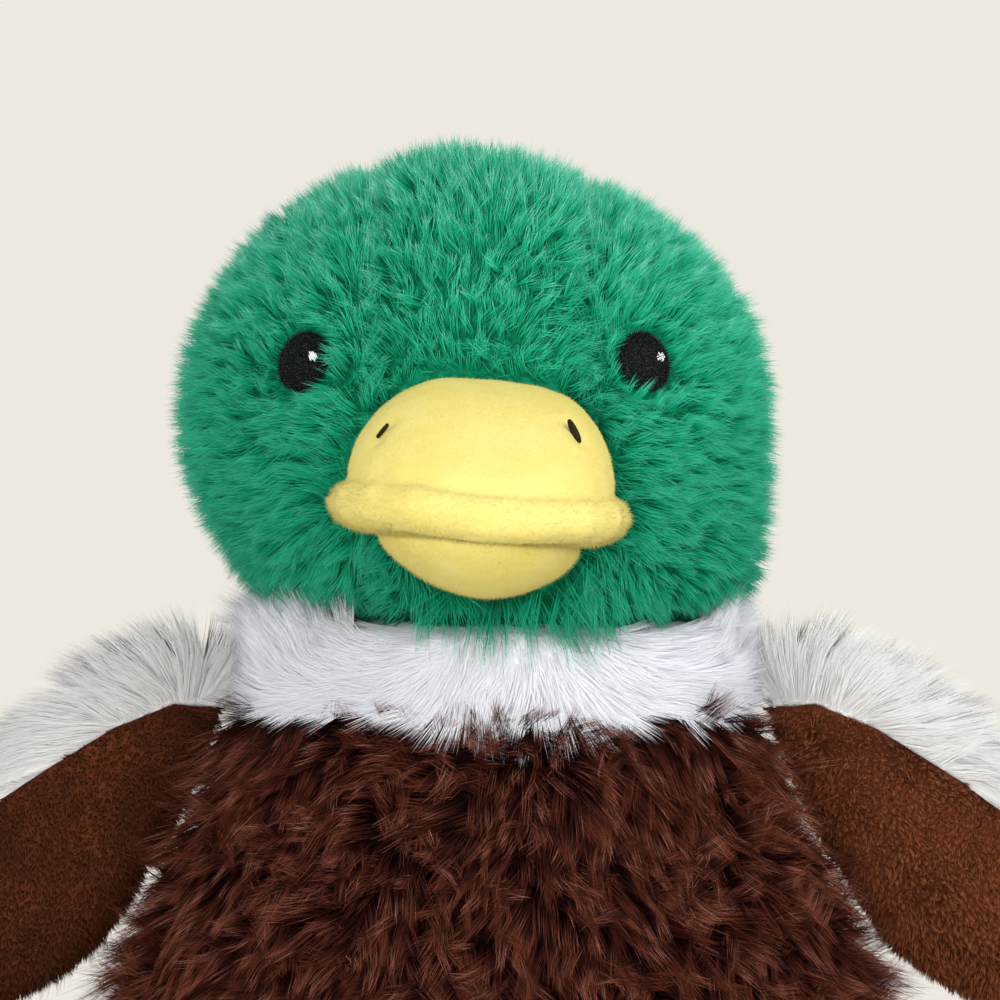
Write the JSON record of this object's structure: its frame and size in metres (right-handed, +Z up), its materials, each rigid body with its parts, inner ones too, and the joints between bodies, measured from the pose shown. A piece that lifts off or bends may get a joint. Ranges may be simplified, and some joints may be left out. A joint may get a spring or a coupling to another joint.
{
  "type": "plush duck",
  "caption": "Seated plush mallard drake with a domed bill, spread padded wings that flap and webbed feet that lift, on a flat weighted seat.",
  "frame": {"origin": "under the middle of the seat, on the floor", "axes": "+Z up, the bill points to -Y, the duck's own left is +X"},
  "size_m": [0.3642, 0.2548, 0.3253],
  "materials": {
    "green_long_pile": "long soft pile, brushed",
    "white_long_pile": "long soft pile, tufted",
    "brown_long_pile": "long glossy pile",
    "grey_long_pile": "long soft pile",
    "brown_short_pile": "short velvety pile",
    "yellow_short_pile": "short velvety pile",
    "black_thread": "satin stitch",
    "white_thread": "satin stitch",
    "brown_thread": "satin stitch",
    "fibre_filling": "loose polyester fibre",
    "bean_calico": "plain woven cotton"
  },
  "bodies": {
    "duck_body": {"seat_panel": "grey_long_pile", "belly_panel": "brown_long_pile", "back_panel_left": "grey_long_pile", "back_panel_right": "grey_long_pile", "neck_collar": "white_long_pile", "bean_bag": "bean_calico", "body_filling": "fibre_filling", "head_panel_left": "green_long_pile", "eye_left": "black_thread", "eye_glint_left": "white_thread", "head_panel_right": "green_long_pile", "eye_right": "black_thread", "eye_glint_right": "white_thread", "head_gusset": "green_long_pile", "head_filling": "fibre_filling", "nostril_left": "brown_thread", "nostril_right": "brown_thread", "upper_bill_cover": "yellow_short_pile", "upper_bill_filling": "fibre_filling", "lower_bill_cover": "yellow_short_pile", "lower_bill_filling": "fibre_filling", "tail_cover": "grey_long_pile", "tail_filling": "fibre_filling"},
    "left_wing": {"wing_lining_left": "brown_short_pile", "wing_back_left": "grey_long_pile", "wing_filling_left": "fibre_filling"},
    "left_foot": {"foot_top_left": "yellow_short_pile", "foot_sole_left": "yellow_short_pile", "foot_filling_left": "fibre_filling"},
    "right_wing": {"wing_lining_right": "brown_short_pile", "wing_back_right": "grey_long_pile", "wing_filling_right": "fibre_filling"},
    "right_foot": {"foot_top_right": "yellow_short_pile", "foot_sole_right": "yellow_short_pile", "foot_filling_right": "fibre_filling"}
  },
  "joints": [
    {"name": "left_wing_flap", "type": "hinge", "parent": "duck_body", "child": "left_wing", "pos_m": [0.08057, 0, 0.16338], "axis": [0.346, 0, -0.9382], "range_deg": [-30, 60], "stiffness_Nm_per_rad": 0.02},
    {"name": "left_foot_lift", "type": "hinge", "parent": "duck_body", "child": "left_foot", "pos_m": [0.04597, -0.07528, 0.009], "axis": [-0.9272, -0.3746, 0], "range_deg": [-20, 55], "stiffness_Nm_per_rad": 0.03},
    {"name": "right_wing_flap", "type": "hinge", "parent": "duck_body", "child": "right_wing", "pos_m": [-0.08057, 0, 0.16338], "axis": [0.346, 0, 0.9382], "range_deg": [-30, 60], "stiffness_Nm_per_rad": 0.02},
    {"name": "right_foot_lift", "type": "hinge", "parent": "duck_body", "child": "right_foot", "pos_m": [-0.04597, -0.07524, 0.009], "axis": [-0.9272, 0.3746, 0], "range_deg": [-20, 55], "stiffness_Nm_per_rad": 0.03}
  ]
}
